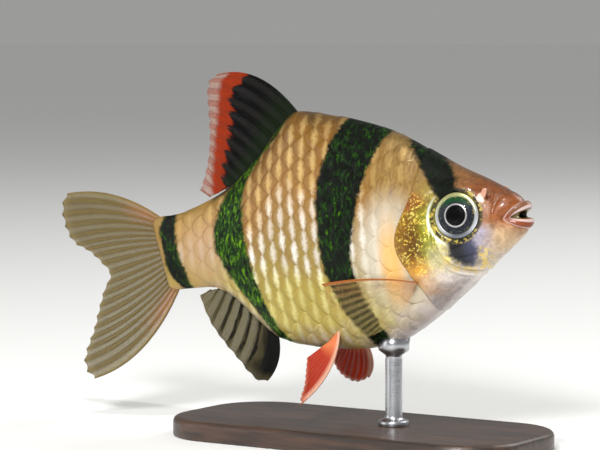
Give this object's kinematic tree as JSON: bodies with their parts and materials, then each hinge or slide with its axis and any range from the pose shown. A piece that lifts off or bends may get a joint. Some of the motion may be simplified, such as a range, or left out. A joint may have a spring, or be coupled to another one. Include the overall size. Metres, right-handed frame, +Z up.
{
  "type": "tiger barb fish model on display stand",
  "caption": "Life-size still model of a deep-bodied banded barb with spread fins, held nose up by a rod on a flat base.",
  "frame": {"origin": "centre of the stand base's underside", "axes": "+X towards the snout, +Z up, the fish's left side towards +Y"},
  "size_m": [0.0642, 0.02, 0.0412],
  "materials": {
    "skin": "wet, pearly scales with black bands",
    "eye": "glossy",
    "fin_dark": "black with an orange-red and clear margin",
    "fin_clear": "translucent olive",
    "fin_red": "translucent orange-red",
    "fin_pale": "clear with a red-brown leading edge",
    "base_wood": "dark satin",
    "rod_steel": "satin"
  },
  "bodies": {
    "root": {"head": "skin", "trunk": "skin", "tail_stalk": "skin", "eye_right": "eye", "eye_left": "eye", "dorsal_fin": "fin_dark", "anal_fin": "fin_dark", "caudal_fin": "fin_clear", "pelvic_fin_right": "fin_red", "pelvic_fin_left": "fin_red", "pectoral_fin_right": "fin_pale", "pectoral_fin_left": "fin_pale", "stand_base": "base_wood", "stand_rod": "rod_steel"}
  },
  "joints": []
}
